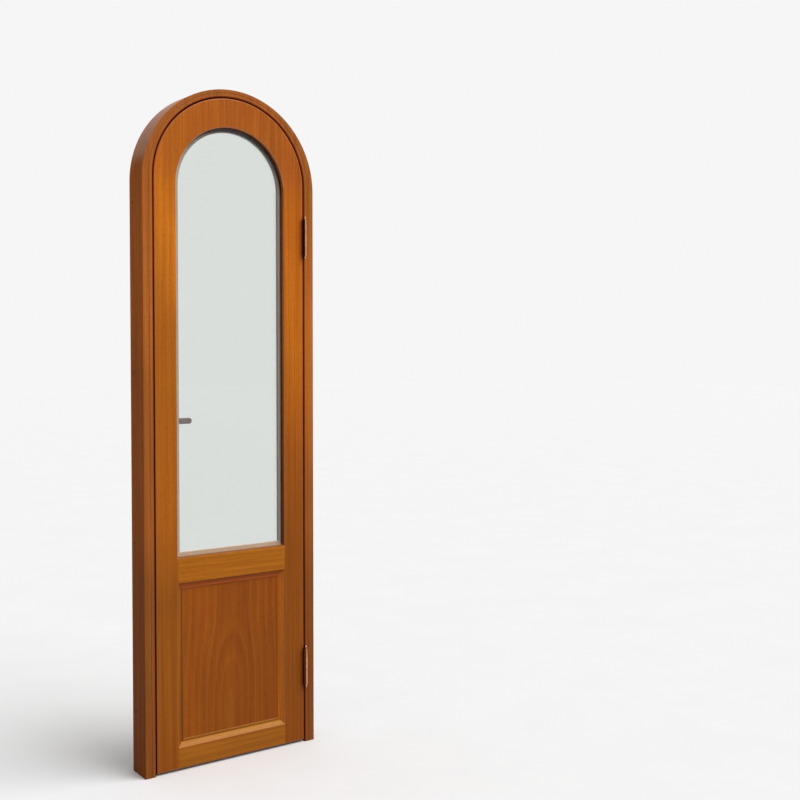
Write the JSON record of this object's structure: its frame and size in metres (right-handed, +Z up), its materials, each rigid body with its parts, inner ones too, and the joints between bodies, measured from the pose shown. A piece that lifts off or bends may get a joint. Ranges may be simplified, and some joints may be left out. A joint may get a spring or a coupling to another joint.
{
  "type": "arched wooden door",
  "caption": "Tall narrow wooden door with a half-round head, a large pane over a moulded lower panel, hung in its own arched wooden frame.",
  "frame": {"origin": "on the underside of the threshold, midway between the jambs and in the middle of the frame's depth", "axes": "+X to the right as seen from outside, towards the hinges; +Y inwards through the wall; +Z up"},
  "size_m": [0.63, 0.1155, 2.236],
  "materials": {
    "wood_leaf": "satin varnish",
    "wood_frame": "satin varnish",
    "wood_panel": "satin varnish",
    "wood_dowel": "plain",
    "glass": "clear float",
    "spacer": "matt",
    "sealant": "dark",
    "seal": "dark brown",
    "bronze": "dark bronzed",
    "steel": "zinc plated",
    "block": "plain"
  },
  "bodies": {
    "frame": {"jamb_hinge_side": "wood_frame", "jamb_lock_side": "wood_frame", "frame_head_left": "wood_frame", "frame_head_right": "wood_frame", "threshold": "wood_frame", "frame_dowels": "wood_dowel", "fixing_plugs": "wood_frame", "weather_seal": "seal", "strike_plate": "steel", "strike_screws": "steel", "upper_hinge_frame_plate": "bronze", "upper_hinge_pin": "bronze", "upper_hinge_frame_screws": "bronze", "lower_hinge_frame_plate": "bronze", "lower_hinge_pin": "bronze", "lower_hinge_frame_screws": "bronze"},
    "leaf": {"lock_stile": "wood_leaf", "hinge_stile": "wood_leaf", "leaf_head": "wood_leaf", "mid_rail": "wood_leaf", "bottom_rail": "wood_leaf", "glazing_bead_left": "wood_leaf", "glazing_bead_right": "wood_leaf", "glazing_bead_bottom": "wood_leaf", "glazing_bead_arch": "wood_leaf", "lower_panel": "wood_panel", "outer_moulding_left": "wood_panel", "outer_moulding_right": "wood_panel", "outer_moulding_top": "wood_panel", "outer_moulding_bottom": "wood_panel", "inner_moulding_left": "wood_panel", "inner_moulding_right": "wood_panel", "inner_moulding_top": "wood_panel", "inner_moulding_bottom": "wood_panel", "leaf_dowels": "wood_dowel", "outer_pane": "glass", "inner_pane": "glass", "glass_spacer": "spacer", "glass_edge_seal": "sealant", "glazing_sealant": "sealant", "setting_blocks": "block", "upper_hinge_leaf_plate": "bronze", "upper_hinge_leaf_screws": "bronze", "lower_hinge_leaf_plate": "bronze", "lower_hinge_leaf_screws": "bronze", "handle_plate": "bronze", "handle_plate_screws": "bronze", "lock_case": "steel", "lock_faceplate": "steel", "lock_faceplate_screws": "steel"},
    "lever": {"lever_handle": "bronze", "lever_spindle": "steel", "latch_follower": "steel"},
    "latch_bolt": {"latch_bolt": "steel"},
    "thumbturn": {"thumbturn": "bronze", "thumbturn_spindle": "steel", "deadbolt_cam": "steel"},
    "deadbolt": {"deadbolt": "steel"}
  },
  "joints": [
    {"name": "leaf_swing", "type": "hinge", "parent": "frame", "child": "leaf", "pos_m": [0.277, -0.058, 1.1], "axis": [0, 0, 1], "range_deg": [0, 110]},
    {"name": "lever_turn", "type": "hinge", "parent": "leaf", "child": "lever", "pos_m": [-0.243, -0.005, 1.14], "axis": [0, 1, 0], "range_deg": [0, 45], "stiffness_Nm_per_rad": 1.5, "springref_deg": -28.65},
    {"name": "latch_slide", "type": "slide", "parent": "leaf", "child": "latch_bolt", "axis": [1, 0, 0], "range_m": [0, 0.0112]},
    {"name": "thumb_turn", "type": "hinge", "parent": "leaf", "child": "thumbturn", "pos_m": [-0.243, -0.005, 1.068], "axis": [0, 1, 0], "range_deg": [0, 90]},
    {"name": "bolt_slide", "type": "slide", "parent": "leaf", "child": "deadbolt", "axis": [-1, 0, 0], "range_m": [0, 0.0204]}
  ],
  "couplings": [
    {"joint": "latch_slide", "follows": "lever_turn", "m_per_rad": 0.014006},
    {"joint": "bolt_slide", "follows": "thumb_turn", "m_per_rad": 0.012732}
  ]
}
